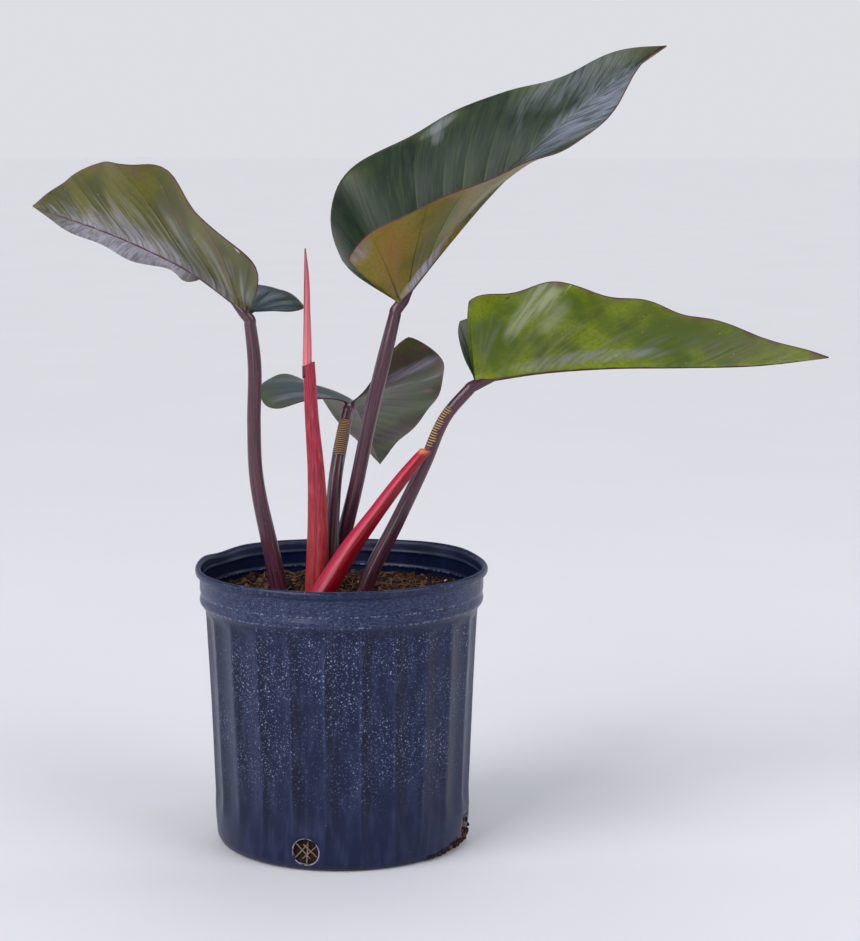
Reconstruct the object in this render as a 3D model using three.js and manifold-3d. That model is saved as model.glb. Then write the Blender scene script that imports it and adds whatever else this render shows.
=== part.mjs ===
// A potted congo rojo philodendron: four grown leaves, a rolled new leaf and two red sheaths in a black
// nursery pot.
// Millimetres, +Z up, the viewer on the -Y side. The origin is the centre of the pot's foot, on the ground.
import * as THREE from "three";
import Module from "manifold-3d";
import { mergeVertices } from "three/addons/utils/BufferGeometryUtils.js";

const wasm = await Module();
wasm.setup();

// Driving dimensions
const GAP = 0.3; // air left between two pieces that touch
const POT_HEIGHT = 214;
const RIM_RADIUS = 112;
const WALL_TOP = 104; // radius of the wall just below the skirt
const WALL_FOOT = 97; // radius of the wall just above the rounded foot
const SKIRT_RADIUS = 108.5;
const SKIRT_DROP = 27; // from the top of the rim to the bottom of the skirt
const POT_WALL = 1.8;
const FLUTES = 24;
const FLUTE_DEPTH = 1;
const FLUTE_AZIMUTH = 7.5; // degrees from straight ahead, of the first ridge
const DRAIN_RADIUS = 10;
const DRAIN_HEIGHT = 15;
const DRAIN_AZIMUTH = -16.5; // degrees from straight ahead, of the first of the four drain holes
const SOIL_LEVEL = 190;
const SOIL_RELIEF = 3;
const BLADE_THICKNESS = 0.8;

const { clamp, degToRad: rad, smoothstep } = THREE.MathUtils;
const vec = (x, y, z) => new THREE.Vector3(x, y, z);

// A value from a list of evenly spaced ones, on a Catmull-Rom curve. Past its ends the curve goes on
// straight.
function along(values, t) {
  const last = values.length - 1;
  const x = t * last;
  const i = Math.min(Math.max(Math.floor(x), 0), last - 1);
  const f = x - i;
  const [b, c] = [values[i], values[i + 1]];
  const a = i > 0 ? values[i - 1] : 2 * b - c;
  const d = i + 2 <= last ? values[i + 2] : 2 * c - b;
  if (f < 0) return b + (f * (c - a)) / 2;
  if (f > 1) return c + ((f - 1) * (d - b)) / 2;
  return 0.5 * (2 * b + (c - a) * f + (2 * a - 5 * b + 4 * c - d) * f * f + (3 * (b - c) + d - a) * f ** 3);
}

function pointAlong(points, t) {
  const [x, y, z] = [0, 1, 2].map((k) => along(points.map((p) => p[k]), t));
  return vec(x, y, z);
}

function headingAlong(points, t) {
  return pointAlong(points, t + 0.01).sub(pointAlong(points, t - 0.01)).normalize();
}

const lengths = new Map();
function pathLength(points) {
  if (!lengths.has(points)) {
    const steps = Array.from({ length: 61 }, (_, i) => pointAlong(points, i / 60));
    lengths.set(points, steps.slice(1).reduce((sum, p, i) => sum + p.distanceTo(steps[i]), 0));
  }
  return lengths.get(points);
}

// The body that a closed geometry bounds. Triangles with two corners in one place are left out.
function solidOf(geometry) {
  geometry.deleteAttribute("normal");
  geometry.deleteAttribute("uv");
  const merged = mergeVertices(geometry, 1e-3);
  const corners = merged.index.array;
  const triVerts = [];
  for (let i = 0; i < corners.length; i += 3) {
    const [a, b, c] = corners.slice(i, i + 3);
    if (a !== b && b !== c && c !== a) triVerts.push(a, b, c);
  }
  const vertProperties = merged.attributes.position.array;
  const mesh = new wasm.Mesh({ numProp: 3, vertProperties, triVerts: new Uint32Array(triVerts) });
  return new wasm.Manifold(mesh);
}

// The body that a list of triangles bounds, each of them three points.
const bounded = (triangles) => solidOf(new THREE.BufferGeometry().setFromPoints(triangles.flat()));

// The skin between two rows of points that run side by side.
function skin(row, next) {
  const triangles = [];
  for (let i = 1; i < row.length; i += 1) {
    triangles.push([row[i - 1], row[i], next[i - 1]], [row[i], next[i], next[i - 1]]);
  }
  return triangles;
}

// A body lofted through rings of points, closed by a flat fan at either end. Seen from the last ring the
// points of a ring run counterclockwise.
function loft(rings) {
  const closed = rings.map((ring) => [...ring, ring[0]]);
  const centre = (ring) => ring.reduce((sum, p) => sum.add(p), vec(0, 0, 0)).divideScalar(ring.length);
  const fan = (ring, middle) => ring.slice(1).map((p, i) => [middle, ring[i], p]);
  const sides = closed.slice(1).flatMap((ring, i) => skin(closed[i], ring));
  const foot = fan([...closed[0]].reverse(), centre(rings[0]));
  return bounded([...foot, ...sides, ...fan(closed.at(-1), centre(rings.at(-1)))]);
}

// The main part of a body that a cut has left, without the slivers of its cut face.
function mainPart(body) {
  return body.simplify(0.05).decompose().reduce((a, b) => (a.volume() > b.volume() ? a : b));
}

const plant = new THREE.Group();

function add(name, body, color, roughness) {
  const { vertProperties, triVerts } = body.getMesh();
  const geometry = new THREE.BufferGeometry();
  geometry.setAttribute("position", new THREE.BufferAttribute(vertProperties, 3));
  geometry.setIndex(new THREE.BufferAttribute(triVerts, 1));
  const mesh = new THREE.Mesh(geometry, new THREE.MeshStandardMaterial({ color, roughness, metalness: 0 }));
  mesh.name = name;
  plant.add(mesh);
}

// The pot: a thin blow-moulded shell. Its wall is fluted below the skirt, and its rim is rolled outwards.
const SKIRT_FOOT = POT_HEIGHT - SKIRT_DROP;

// Radius and height of the pot's outer skin, from its flat foot to the crown of the rim.
const POT_OUTSIDE = [
  [WALL_FOOT - 6, 0],
  [WALL_FOOT - 2, 1.8],
  [WALL_FOOT, 6],
  [WALL_FOOT + 1, 18],
  [WALL_FOOT + 1.3, 28],
  [WALL_FOOT + 1.3, 40],
  [(WALL_FOOT + WALL_TOP) / 2 + 0.7, SKIRT_FOOT * 0.6],
  [WALL_TOP, SKIRT_FOOT - 11],
  [WALL_TOP + 0.4, SKIRT_FOOT - 5],
  [SKIRT_RADIUS - 0.3, SKIRT_FOOT],
  [SKIRT_RADIUS + 0.2, SKIRT_FOOT + 2.5],
  [SKIRT_RADIUS - 0.9, SKIRT_FOOT + 7],
  [SKIRT_RADIUS, SKIRT_FOOT + 10],
  [SKIRT_RADIUS, POT_HEIGHT - 7],
  [RIM_RADIUS - 0.5, POT_HEIGHT - 5.5],
  [RIM_RADIUS, POT_HEIGHT - 2],
  [RIM_RADIUS - 1.2, POT_HEIGHT],
];

// Radius and height of its inner skin, from the floor to the rim.
const POT_INSIDE = [
  [WALL_FOOT - 5, 2.4],
  [WALL_FOOT - 0.4 - POT_WALL, 7],
  [WALL_FOOT + 1.3 - POT_WALL, 34],
  [WALL_TOP - POT_WALL, SKIRT_FOOT - 6],
  [SKIRT_RADIUS - POT_WALL, SKIRT_FOOT + 1],
  [SKIRT_RADIUS - POT_WALL, POT_HEIGHT - 4],
  [RIM_RADIUS - 3.6, POT_HEIGHT - 0.4],
];

// A ring of points round the pot's axis. The pot and its soil are seen from above with the first ridge at
// the start.
function potRing(columns, radiusAt, heightAt) {
  return Array.from({ length: columns }, (_, i) => {
    const turn = i / columns;
    const azimuth = rad(FLUTE_AZIMUTH) + turn * 2 * Math.PI;
    const radius = radiusAt(turn);
    const [x, y] = [radius * Math.sin(azimuth), -radius * Math.cos(azimuth)];
    return vec(x, y, heightAt(x, y));
  });
}

function pot() {
  const ring = (radius, z, depth) =>
    potRing(FLUTES * 3, (turn) => radius - depth * Math.abs(Math.sin(turn * FLUTES * Math.PI)), () => z);
  const fluteDepth = (z) =>
    FLUTE_DEPTH * smoothstep(z, 18, 40) * (1 - smoothstep(z, SKIRT_FOOT - 11, SKIRT_FOOT - 5));
  const shell = loft([
    ...POT_OUTSIDE.map(([radius, z]) => ring(radius, z, fluteDepth(z))),
    ...POT_INSIDE.toReversed().map(([radius, z]) => ring(radius, z, 0)),
  ]);
  const drills = [0, 90, 180, 270].map((turn) => {
    const drill = new THREE.CylinderGeometry(DRAIN_RADIUS, DRAIN_RADIUS, 30, 24);
    return solidOf(drill.translate(0, -WALL_FOOT, DRAIN_HEIGHT).rotateZ(rad(DRAIN_AZIMUTH + turn)));
  });
  return shell.subtract(wasm.Manifold.union(drills));
}

// The soil fills the pot to its skirt, with a crumbly top.
function soil() {
  const relief = (x, y) =>
    0.5 * Math.sin(x / 9 + 1) * Math.cos(y / 11) +
    0.3 * Math.sin((x + y) / 5) +
    0.2 * Math.cos(x / 3.4 - y / 4.1);
  const ring = (radius, z, height) =>
    potRing(48, () => radius, (x, y) => z + height * relief(x, y));
  const topRadius = SKIRT_RADIUS - POT_WALL - GAP;
  return loft([
    ...POT_INSIDE.slice(0, 5).map(([radius, z]) => ring(radius - GAP, z + GAP, 0)),
    ring(topRadius, SOIL_LEVEL, SOIL_RELIEF / 4),
    ...[0.93, 0.82, 0.7, 0.58, 0.46, 0.34, 0.22, 0.1].map((share) =>
      ring(topRadius * share, SOIL_LEVEL, SOIL_RELIEF),
    ),
  ]);
}

// The stems. Each has evenly spaced points from under the soil to its top, and radii spaced alike.
const PETIOLES = {
  left: {
    path: [[-41, 14, 158], [-53, 13, 218], [-64, 11, 275], [-66, 10, 320], [-65, 10, 365], [-69, 10, 406]],
    radii: [6.6, 6.4, 5.6, 5.3, 5.2, 4.3],
  },
  top: {
    path: [[-17, 40, 158], [-3, 37, 211], [11, 31, 267], [23, 26, 325], [34, 22, 371], [44, 20, 412]],
    radii: [6.4, 6.1, 5.7, 5.6, 5.5, 4.4],
  },
  right: {
    path: [[6, 11, 160], [22, 12, 203], [43, 12, 245], [64, 12, 289], [80, 12, 325], [103, 12, 352]],
    radii: [6.3, 6.1, 5.7, 5.2, 4.6, 4.4],
  },
  rear: {
    path: [[-10, 19, 158], [-8, 21, 200], [-7, 25, 241], [-4, 33, 277], [1.7, 46, 307], [6.6, 55.4, 329.3]],
    radii: [6, 5.9, 5.7, 5.4, 5.1, 4.4],
  },
};
const SPEAR = {
  path: [[-23, 6, 336], [-25, 6, 360], [-25, 6, 384], [-25, 6, 408], [-25, 6, 432], [-26, 6, 455]],
  radii: [3.6, 3.5, 3.2, 2.5, 1.9, 0.5],
};
const SPEAR_SHEATH = {
  path: [[-20, 6, 158], [-19, 6, 200], [-18, 6, 242], [-19, 6, 284], [-22, 6, 327], [-24, 6, 372]],
  radii: [9.5, 9, 8, 6.6, 5.3, 4.6],
  mouth: { height: 367.5, slant: 20 }, // the mouth rises towards the viewer's right, in degrees
};
const SIDE_SHEATH = {
  path: [[-32, -17, 166], [-15, -17, 194], [5, -14, 226], [25, -10, 253], [45, -6, 279], [66, -2, 304]],
  radii: [9, 9.2, 8, 6.4, 5.6, 4.2],
  mouth: { radius: 3.2, depth: 14 },
};

// A stem is round, or folded to a keel on the side that faces the viewer.
const roundSection = () => 1;
const keeledSection = (angle) => 0.95 + 0.18 * Math.max(0, -Math.sin(angle)) ** 6;

// A stem as a closed body, `grow` larger than the real one all round and `beyond` longer at its top. Angles
// round it start at the viewer's right.
function stem({ path, radii }, sides, section = roundSection, grow = 0, beyond = 0) {
  const steps = 15;
  const from = -grow / pathLength(path);
  const to = 1 + (grow + beyond) / pathLength(path);
  const rings = Array.from({ length: steps + 1 }, (_, i) => {
    const t = from + (i / steps) * (to - from);
    const heading = headingAlong(path, t);
    const right = vec(0, 1, 0).cross(heading).normalize();
    const back = heading.clone().cross(right);
    return Array.from({ length: sides }, (__, k) => {
      const angle = (k / sides) * 2 * Math.PI;
      const reach = along(radii, t) * section(angle) + grow;
      return pointAlong(path, t)
        .addScaledVector(right, reach * Math.cos(angle))
        .addScaledVector(back, reach * Math.sin(angle));
    });
  });
  return loft(rings);
}

// The sheath round the new leaf: the spear stands in its bore.
function spearSheath() {
  const { height, slant } = SPEAR_SHEATH.mouth;
  const facing = vec(Math.sin(rad(slant)), 0, -Math.cos(rad(slant)));
  const middle = pointAlong(SPEAR_SHEATH.path, 1).setZ(height);
  const bore = stem(SPEAR, 16, roundSection, GAP);
  return stem(SPEAR_SHEATH, 16).trimByPlane(facing.toArray(), facing.dot(middle)).subtract(bore);
}

// The sheath that leans to the right: it has opened at its tip.
function sideSheath() {
  const { path, mouth } = SIDE_SHEATH;
  const reach = mouth.depth / pathLength(path);
  const inside = [1 - reach, 1 - reach / 2, 1, 1 + reach / 2].map((t) => pointAlong(path, t).toArray());
  const hollow = stem({ path: inside, radii: [0.8, mouth.radius * 0.8, mouth.radius, mouth.radius] }, 16);
  return stem(SIDE_SHEATH, 16, keeledSection).subtract(hollow);
}

// Half of a leaf of this species laid flat, from the stalk round the lobe to the tip: how far along the
// midrib the side vein starts, how far along its end on the margin lies, and how far out. In shares of
// length and half width.
const SPECIES_MARGIN = [
  [0, 0, 0],
  [0, -0.035, 0.13],
  [0, -0.085, 0.31],
  [0, -0.1, 0.53],
  [0, -0.07, 0.74],
  [0, 0.01, 0.92],
  [0.01, 0.12, 1],
  [0.04, 0.24, 0.985],
  [0.11, 0.36, 0.91],
  [0.21, 0.48, 0.78],
  [0.34, 0.6, 0.62],
  [0.49, 0.72, 0.45],
  [0.65, 0.82, 0.3],
  [0.82, 0.92, 0.14],
  [1, 1, 0],
];

// A leaf: its midrib from the stalk to the tip, how wide and deep the raised rib is at the stalk, and the
// height, number and phase of the waves of its margin. Either half has a width, a size of its lobe against
// the species', its fold above the level at the midrib, and how much more it curls on the way to the margin.
// Folds and curls are in degrees, evenly spaced from FOLD_FROM to the tip.
const FOLD_FROM = -0.2;
const LEAVES = {
  left: {
    midrib: [
      [-69, 10, 407], [-110, 14, 437], [-149, 34, 455], [-184, 64, 467], [-215, 98, 475], [-246, 134, 483],
    ],
    rib: { width: 5, height: 3 },
    waves: [7, 3.44, 0.3],
    left: { width: 86, lobe: 0, fold: [20, 20, 54, 71, 78, 81], curl: [-35, -1, 0, -4, 0, -2] },
    right: { width: 76.5, lobe: 1.2, fold: [86, 45, 0, -27, -45, -53], curl: [-150, -84, -25, -15, 24, -8] },
  },
  top: {
    midrib: [
      [44, 20, 413], [80, 24, 457], [117, 24, 499], [158, 22, 538], [202, 18, 575], [246, 12, 606],
    ],
    rib: { width: 5.5, height: 3.5 },
    waves: [11, 1.95, 1.05],
    left: { width: 96, lobe: 0.1, fold: [-15, 65, 73, 59, 43, 95], curl: [-60, -40, -29, -4, -11, -7] },
    right: { width: 91, lobe: 0.07, fold: [52, 33, 12, -14, -33, 4], curl: [-15, 10, 28, 18, 31, -14] },
  },
  right: {
    midrib: [
      [103, 12, 354], [154, 14, 361], [207, 14, 364], [263, 14, 364], [319, 12, 365], [374, 8, 371],
    ],
    rib: { width: 5, height: 3 },
    waves: [5, 4.17, 0.09],
    left: { width: 83, lobe: 0.2, fold: [73, 32, 33, 41, 50, 60], curl: [1, -3, -2, -1, 0, 0] },
    right: { width: 83, lobe: 0.13, fold: [52, 62, 59, 56, 58, 61], curl: [-8, -13, -7, -11, 17, 5] },
  },
  rear: {
    midrib: [
      [7, 56, 331], [10, 96, 329], [14, 138, 317], [20, 176, 300], [27, 210, 279], [34, 242, 257],
    ],
    rib: { width: 4.5, height: 3 },
    waves: [1, 3, 0],
    left: { width: 75, lobe: 1, fold: [22, 29, 30, 32, 25, 23], curl: [-92, -61, -27, -1, 6, 1] },
    right: { width: 79, lobe: 0.28, fold: [95, 24, 4, 4, 11, 26], curl: [33, 32, 29, 15, -5, -3] },
  },
};

// The point of a leaf's middle surface that lies x along the midrib and y out to one side on the flat leaf,
// with the leaf's upward direction at the midrib there. Side 1 is the right half, seen from above with the
// tip ahead, and -1 the left one. The section across the midrib is an arc that starts at the fold.
function bladePoint(leaf, side, x, y) {
  const { width, fold, curl } = side > 0 ? leaf.right : leaf.left;
  const length = pathLength(leaf.midrib);
  const t = x / length;
  const tangent = headingAlong(leaf.midrib, t);
  const across = tangent.clone().cross(vec(0, 0, 1)).normalize();
  const up = across.clone().cross(tangent);
  const share = (t - FOLD_FROM) / (1 - FOLD_FROM);
  const start = rad(along(fold, share));
  const turn = (rad(along(curl, share)) * y) / width + 1e-6;
  const chord = (y * Math.sin(turn / 2)) / (turn / 2);
  const [height, count, phase] = leaf.waves;
  const ripple = height * (y / width) ** 2 * Math.sin(2 * Math.PI * (count * t + phase) + side);
  const level = chord * Math.cos(start + turn / 2) - ripple * Math.sin(start + turn);
  const rise = chord * Math.sin(start + turn / 2) + ripple * Math.cos(start + turn);
  const point = pointAlong(leaf.midrib, t).addScaledVector(across, side * level).addScaledVector(up, rise);
  return { point, up };
}

// A petiole ends in a slanting cut, just clear of the raised rib under the blade that it carries.
function petiole(name) {
  const leaf = LEAVES[name];
  const { point, up } = bladePoint(leaf, 1, 0, 0);
  const clear = BLADE_THICKNESS / 2 + leaf.rib.height + GAP;
  const below = up.negate();
  return stem(PETIOLES[name], 12, roundSection, 0, 12).trimByPlane(below.toArray(), below.dot(point) + clear);
}

// How wide the raised rib is at a place along the midrib, against its width at the stalk.
const ribAt = (leaf, x) => 1 - 0.85 * clamp(x / pathLength(leaf.midrib), 0, 1);

// The points of both skins above and below one point of the flat leaf, which lies `beside` the midrib.
function skinPoints(leaf, side, [x, y], beside) {
  const { point, up } = bladePoint(leaf, side, x, y);
  const at = (dx, dy) => bladePoint(leaf, side, x + dx, Math.max(y, 0.5) + dy).point;
  const ahead = at(0.5, 0).sub(at(-0.5, 0));
  const outward = at(0, 0.5).sub(at(0, -0.5));
  const level = outward.cross(ahead).multiplyScalar(side).normalize();
  const fromRib = Math.min(beside / (leaf.rib.width * ribAt(leaf, x)), 1);
  const normal = up.lerp(level, fromRib).normalize();
  const swell = leaf.rib.height * ribAt(leaf, x) * Math.sqrt(1 - fromRib ** 2);
  return {
    upper: point.clone().addScaledVector(normal, BLADE_THICKNESS / 2),
    under: point.clone().addScaledVector(normal, -BLADE_THICKNESS / 2 - swell),
  };
}

// Both skins of one half of a blade, in rows that follow the side veins from the midrib to the margin.
function halfBlade(leaf, side) {
  const [rows, columns, ribColumns] = [26, 8, 2];
  const length = pathLength(leaf.midrib);
  const half = side > 0 ? leaf.right : leaf.left;
  return Array.from({ length: rows + 1 }, (_, i) => {
    const [root, ahead, out] = pointAlong(SPECIES_MARGIN, i / rows).toArray();
    const vein = [(ahead * (ahead < 0 ? half.lobe : 1) - root) * length, out * half.width];
    const reach = Math.hypot(...vein);
    const ribWidth = Math.min(leaf.rib.width * ribAt(leaf, root * length), reach / 2);
    return Array.from({ length: columns + 1 }, (__, j) => {
      const beyond = Math.max(j - ribColumns, 0) / (columns - ribColumns);
      const distance = ribWidth * Math.min(j / ribColumns, 1) + (reach - ribWidth) * beyond;
      const [x, y] = vein.map((step) => (reach > 0.01 ? (step * distance) / reach : 0));
      return skinPoints(leaf, side, [root * length + x, y], Math.hypot(y, Math.min(x, 0)));
    });
  });
}

// A blade as a closed body. Both skins are split into triangles alike.
function blade(leaf) {
  const turned = ([a, b, c]) => [a, c, b];
  const faces = (rows) => rows.slice(1).flatMap((row, i) => skin(rows[i], row));
  const triangles = [1, -1].flatMap((side) => {
    const rows = halfBlade(leaf, side);
    const upper = rows.map((row) => row.map((pair) => pair.upper));
    const under = rows.map((row) => row.map((pair) => pair.under));
    const margin = rows.map((row) => [row.at(-1).upper, row.at(-1).under]);
    const right = [...faces(upper), ...faces(under).map(turned), ...faces(margin)];
    return side > 0 ? right : right.map(turned);
  });
  return bounded(triangles);
}

const BLADE_COLORS = { left: 0x46512c, top: 0x3c4a2e, right: 0x44502e, rear: 0x3d4829 };

add("nursery_pot", pot(), 0x1d2238, 0.35);
const sockets = [
  ...Object.values(PETIOLES).map((stalk) => stem(stalk, 12, roundSection, GAP)),
  stem(SPEAR_SHEATH, 16, roundSection, GAP),
  stem(SIDE_SHEATH, 16, keeledSection, GAP),
];
add("potting_soil", mainPart(soil().subtract(wasm.Manifold.union(sockets))), 0x35261c, 0.95);
for (const [name, leaf] of Object.entries(LEAVES)) {
  add(name + "_leaf_blade", blade(leaf), BLADE_COLORS[name], 0.35);
  add(name + "_leaf_petiole", mainPart(petiole(name)), 0x563c4a, 0.4);
}
add("new_leaf_spear", stem(SPEAR, 12), 0xc9696e, 0.35);
add("spear_sheath", mainPart(spearSheath()), 0x9c3440, 0.4);
add("side_sheath", mainPart(sideSheath()), 0xb5223f, 0.35);

export default plant;
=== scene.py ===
import math
import random

import bmesh
import bpy
import numpy as np
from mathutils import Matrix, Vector, noise


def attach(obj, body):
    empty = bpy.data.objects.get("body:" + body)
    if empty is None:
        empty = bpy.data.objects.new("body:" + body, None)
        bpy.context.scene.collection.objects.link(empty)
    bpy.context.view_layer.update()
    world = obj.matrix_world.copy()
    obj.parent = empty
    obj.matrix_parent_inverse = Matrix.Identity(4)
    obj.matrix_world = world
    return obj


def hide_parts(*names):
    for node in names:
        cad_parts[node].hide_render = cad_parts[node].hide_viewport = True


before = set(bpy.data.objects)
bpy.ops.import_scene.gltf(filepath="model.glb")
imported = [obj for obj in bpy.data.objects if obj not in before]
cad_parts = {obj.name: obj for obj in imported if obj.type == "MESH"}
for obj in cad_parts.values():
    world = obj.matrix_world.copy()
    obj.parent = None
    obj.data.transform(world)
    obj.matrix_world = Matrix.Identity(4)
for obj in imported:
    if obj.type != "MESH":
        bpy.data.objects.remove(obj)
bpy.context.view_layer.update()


# The camera: a short telephoto lens about 1.8 m in front of the pot, level with the upper leaves and looking
# slightly down on the rim.
camera = bpy.data.objects.new("camera", bpy.data.cameras.new("camera"))
bpy.context.collection.objects.link(camera)
camera.location = (0, -1.785, 0.546)
camera.rotation_euler = (math.radians(81.72), 0, math.radians(-2.18))
camera.data.sensor_width = 36
camera.data.lens = 90.5
bpy.context.scene.camera = camera


# The floor and the lights, which are not part of the plant: a pale seamless board, three wide lamps far away,
# a soft box at either side for the edges of the pot, and a tall one in front that draws a line on each stalk.
class Link:
    """A socket of a finish. An expression on links and numbers adds its Math nodes."""

    def __init__(self, finish, socket):
        self.finish = finish
        self.socket = socket

    def also(self, output):
        """Another output of the same node."""
        return Link(self.finish, self.socket.node.outputs[output])

    def math(self, operation, first, second):
        return self.finish.node("Math", {"operation": operation}, {0: first, 1: second})

    def __add__(self, other):
        return self.math("ADD", self, other)

    def __sub__(self, other):
        return self.math("SUBTRACT", self, other)

    def __rsub__(self, other):
        return self.math("SUBTRACT", other, self)

    def __mul__(self, other):
        return self.math("MULTIPLY", self, other)

    def __truediv__(self, other):
        return self.math("DIVIDE", self, other)

    def __pow__(self, other):
        return self.math("POWER", self, other)

    __radd__ = __add__
    __rmul__ = __mul__

    def rise(self, low, high):
        """0 below `low` and 1 above `high`, with a soft step between."""
        return self.finish.node("MapRange", {"interpolation_type": "SMOOTHSTEP"}, {0: self, 1: low, 2: high})


def paint(screen_values):
    """The light that a colour on the screen stands for."""
    shares = [value / 255 for value in screen_values]
    return (*(s / 12.92 if s < 0.04045 else ((s + 0.055) / 1.055) ** 2.4 for s in shares), 1)


class Finish:
    """A surface whose look is worked out by nodes from the place on the piece."""

    def __init__(self, name, sockets, store=bpy.data.materials, shader="Principled BSDF", place="Object"):
        self.material = store.new(name)
        self.material.use_nodes = True
        self.tree = self.material.node_tree
        self.shader = self.tree.nodes[shader]
        self.place = self.node("TexCoord", {}, {}, place)
        self.wear(sockets)

    def wear(self, sockets):
        """Sets the look of the surface itself."""
        self.fill(self.shader, sockets)

    def fill(self, node, sockets):
        for key, value in sockets.items():
            if isinstance(value, Link):
                self.tree.links.new(value.socket, node.inputs[key])
            else:
                node.inputs[key].default_value = value

    def node(self, kind, settings, sockets, output=0):
        """Adds a node of a type: its settings come first, then the values or links of its sockets."""
        node = self.tree.nodes.new("ShaderNode" + kind)
        for key, value in settings.items():
            setattr(node, key, value)
        self.fill(node, sockets)
        return Link(self, node.outputs[output])

    def blend(self, share, *colors):
        """A colour between two, by a share from 0 to 1. Each is a link or its screen values, up to 255."""
        first, second = (paint(color) if isinstance(color, tuple) else color for color in colors)
        return self.node("Mix", {"data_type": "RGBA"}, {0: share, 6: first, 7: second}, 2)

    def layered(self, color, *coats):
        """A colour with others laid over it in turn, each by its share."""
        for share, tint in coats:
            color = self.blend(share, color, tint)
        return color

    def cloud(self, size, detail=3, place=None):
        """Soft random marks from 0 to 1, about `size` millimetres across."""
        sockets = {"Vector": place or self.place, "Scale": 1000 / size, "Detail": detail}
        return self.node("TexNoise", {}, sockets)

    def dots(self, spacing, radius, share, place=None):
        """Round dots in a `share` of the cells that are `spacing` millimetres apart."""
        sockets = {"Vector": place or self.place, "Scale": 1000 / spacing}
        cells = self.node("TexVoronoi", {}, sockets, "Distance")
        lot = self.node("SeparateColor", {}, {0: cells.also("Color")})
        spot = 1 - cells.rise(radius * 0.6 / spacing, radius / spacing)
        return spot * (1 - lot.rise(share - 0.02, share + 0.02))

    def mark(self, name):
        """A number that the mesh carries at each of its points."""
        return self.node("Attribute", {"attribute_name": name}, {}, "Fac")

    def relief(self, height, depth):
        """Makes the surface stand up by `height`, times `depth` in millimetres."""
        sockets = {"Height": height, "Distance": depth / 1000, "Strength": 1}
        self.wear({"Normal": self.node("Bump", {}, sockets)})


def matt(name, roughness, blotches, dark, light, grains, depth, shine=0.5):
    """A dull finish that goes between two colours, with a fine relief. Blotches and grains are a size in
    millimetres and a detail, the depth is in millimetres."""
    finish = Finish(name, {"Roughness": roughness, "Specular IOR Level": shine})
    finish.wear({"Base Color": finish.blend(finish.cloud(*blotches), dark, light)})
    finish.relief(finish.cloud(*grains), depth)
    return finish


FLOOR_RADIUS = 40
FLOOR_LEVEL = -0.0004
board = matt("pale_board", 0.9, (400, 3), (222, 222, 224), (227, 227, 229), (3, 3), 0.05, 0.1)

corners = [math.tau * i / 96 for i in range(96)]
edge = [(FLOOR_RADIUS * math.cos(a), FLOOR_RADIUS * math.sin(a), FLOOR_LEVEL) for a in corners]
floor_mesh = bpy.data.meshes.new("floor")
floor_mesh.from_pydata(edge, [], [range(len(edge))])
floor_mesh.materials.append(board.material)
floor = bpy.data.objects.new("floor", floor_mesh)
bpy.context.collection.objects.link(floor)


LAMP_SPREAD = math.radians(38)


def soft_box(name, place, aim, width, height, watts, color):
    """A rectangle of light that the camera doesn't see, in metres."""
    light = bpy.data.objects.new(name, bpy.data.lights.new(name, "AREA"))
    light.data.shape = "RECTANGLE"
    light.data.size = width
    light.data.size_y = height
    light.data.energy = watts
    light.data.color = color
    light.visible_camera = False
    light.location = place
    light.rotation_euler = (Vector(aim) - Vector(place)).to_track_quat("-Z", "Y").to_euler()
    bpy.context.collection.objects.link(light)


def wide_lamp(name, azimuth, elevation, strength, color):
    """A soft lamp far away: degrees round from the camera towards the right, and up."""
    light = bpy.data.objects.new(name, bpy.data.lights.new(name, "SUN"))
    light.data.energy = strength
    light.data.angle = LAMP_SPREAD
    light.data.color = color
    turn, rise = math.radians(azimuth), math.radians(elevation)
    toward = Vector((math.sin(turn) * math.cos(rise), -math.cos(turn) * math.cos(rise), math.sin(rise)))
    light.rotation_euler = toward.to_track_quat("Z", "Y").to_euler()
    bpy.context.collection.objects.link(light)


soft_box("left_box", (-1.7, 0.2, 0.6), (0, 0, 0.12), 0.3, 0.6, 3, (0.62, 0.68, 1))
soft_box("right_box", (1.7, 0.3, 0.6), (0, 0, 0.12), 0.3, 0.6, 4, (0.64, 0.68, 1))
soft_box("front_strip", (-0.95, -1.8, 0.8), (0, 0, 0.3), 0.24, 0.9, 10, (0.92, 0.88, 1))
wide_lamp("key_lamp", -56, 36, 1.7, (1, 0.99, 0.98))
wide_lamp("fill_lamp", 54, 34, 1.0, (0.97, 0.98, 1))
wide_lamp("back_lamp", 165, 62, 0.75, (0.98, 0.98, 1))

# The room: as pale as the floor behind it at the height of the plant, and dim overhead.
WALL_TONE, CEILING_TONE = (221, 222, 227), (134.4, 137, 146.6)
studio = Finish("studio", {"Strength": 1}, bpy.data.worlds, "Background", "Generated")
upward = studio.node("SeparateXYZ", {}, {0: studio.place}, "Z")
sky = studio.blend(upward.rise(0.05, 0.25), WALL_TONE, CEILING_TONE)
studio.wear({"Color": sky})
bpy.context.scene.world = studio.material
bpy.context.scene.view_settings.view_transform = "Standard"


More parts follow.
